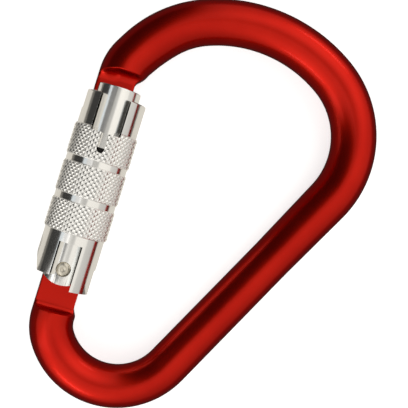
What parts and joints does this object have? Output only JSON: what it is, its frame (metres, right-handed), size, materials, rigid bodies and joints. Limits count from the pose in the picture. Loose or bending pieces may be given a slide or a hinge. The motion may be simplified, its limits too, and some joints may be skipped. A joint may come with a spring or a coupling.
{
  "type": "locking carabiner",
  "caption": "Pear-shaped locking carabiner: round anodised bar body, spring-loaded gate, and a knurled sleeve that locks by itself and opens with a quarter turn.",
  "frame": {"origin": "under the middle of the outline of the carabiner lying flat on its back, at the height of the sleeve's lowest point", "axes": "+X from the gate towards the spine, +Y along the gate from the hinge to the nose, +Z out of the front face"},
  "size_m": [0.0804, 0.1158, 0.0172],
  "materials": {
    "body_anodised": "satin red anodised",
    "gate_metal": "polished natural anodised",
    "sleeve_metal": "bright natural anodised, diamond knurled",
    "rivet_steel": "peened stainless steel",
    "plunger_steel": "ground stainless steel",
    "spring_steel": "drawn stainless spring wire",
    "pin_steel": "ground stainless steel"
  },
  "bodies": {
    "body": {"body": "body_anodised"},
    "gate": {"gate": "gate_metal", "hinge_rivet": "rivet_steel", "gate_spring": "spring_steel", "sleeve_spring": "spring_steel", "sleeve_stop_pin": "pin_steel"},
    "plunger": {"gate_plunger": "plunger_steel"},
    "sleeve": {"locking_sleeve": "sleeve_metal"}
  },
  "joints": [
    {"name": "gate_hinge", "type": "hinge", "parent": "body", "child": "gate", "pos_m": [-0.03156, -0.02491, 0.0086], "axis": [0, 0, -1], "range_deg": [0, 28], "stiffness_Nm_per_rad": 0.3, "springref_deg": -45.84},
    {"name": "sleeve_twist", "type": "hinge", "parent": "gate", "child": "sleeve", "pos_m": [-0.03156, -0.00491, 0.0086], "axis": [0, -1, 0], "range_deg": [0, 90], "stiffness_Nm_per_rad": 0.02, "springref_deg": -34.38, "deforming": ["sleeve_spring"]},
    {"name": "plunger_slide", "type": "slide", "parent": "gate", "child": "plunger", "axis": [0, 1, 0], "range_m": [0, 0.0011], "deforming": ["gate_spring"]}
  ],
  "couplings": [
    {"joint": "plunger_slide", "follows": "gate_hinge", "m_per_rad": 0.0021782}
  ]
}
